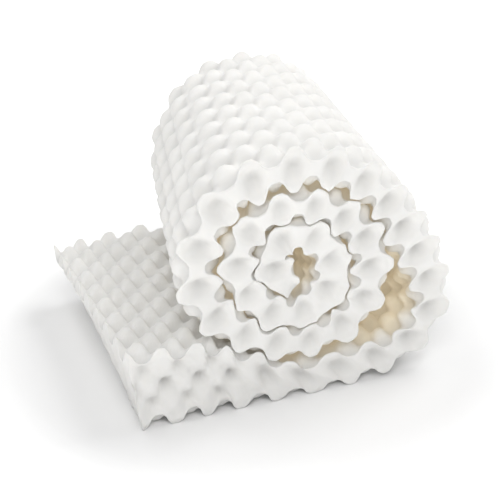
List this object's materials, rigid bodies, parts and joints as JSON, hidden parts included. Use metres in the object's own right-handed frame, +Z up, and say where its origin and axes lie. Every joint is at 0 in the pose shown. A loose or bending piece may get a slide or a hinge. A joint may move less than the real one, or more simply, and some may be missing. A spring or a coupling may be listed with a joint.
{
  "type": "mattress topper",
  "caption": "Convoluted foam mattress topper, bumped on both faces, rolled up with its free end lying flat.",
  "frame": {"origin": "middle of the bounding box's bottom face, at the level of the floor", "axes": "+Z up, +Y along the roll from its shown end to its far end, +X along the sheet from the flat free end towards the roll"},
  "size_m": [0.5002, 0.372, 0.3617],
  "materials": {
    "foam": "matte white open-cell polyurethane foam"
  },
  "bodies": {
    "root": {"mattress_topper": "foam"}
  },
  "joints": []
}
